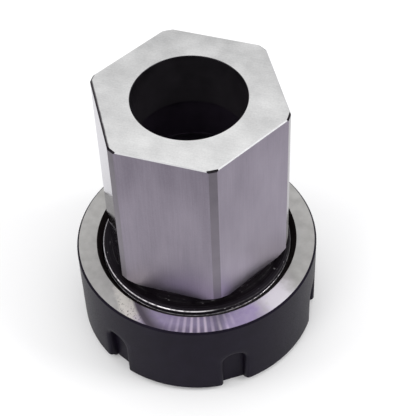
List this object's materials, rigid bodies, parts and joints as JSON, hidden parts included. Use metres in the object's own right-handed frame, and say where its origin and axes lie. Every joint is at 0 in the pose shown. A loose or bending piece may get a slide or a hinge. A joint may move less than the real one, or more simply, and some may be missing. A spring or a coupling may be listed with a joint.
{
  "type": "hex collet block",
  "caption": "Hexagonal collet block with a taper socket for spring collets, a plain rear bore and a slotted round clamping nut on its threaded end.",
  "frame": {"origin": "centre of the nut's front face, where the object stands", "axes": "+Z along the collet axis from the nut to the rear face; one flat of the hexagon faces -Y"},
  "size_m": [0.063, 0.063, 0.077],
  "materials": {
    "block_steel": "ground flats and rear face, black oxide in the neck, thread and bores",
    "nut_steel": "satin black oxide with a ground back face"
  },
  "bodies": {
    "block": {"hex_block": "block_steel"},
    "nut": {"clamping_nut": "nut_steel"}
  },
  "joints": [
    {"name": "nut_turn", "type": "hinge", "parent": "block", "child": "nut", "pos_m": [0, 0, 0.0127], "axis": [0, 0, 1], "range_deg": [-2935, 240]}
  ]
}
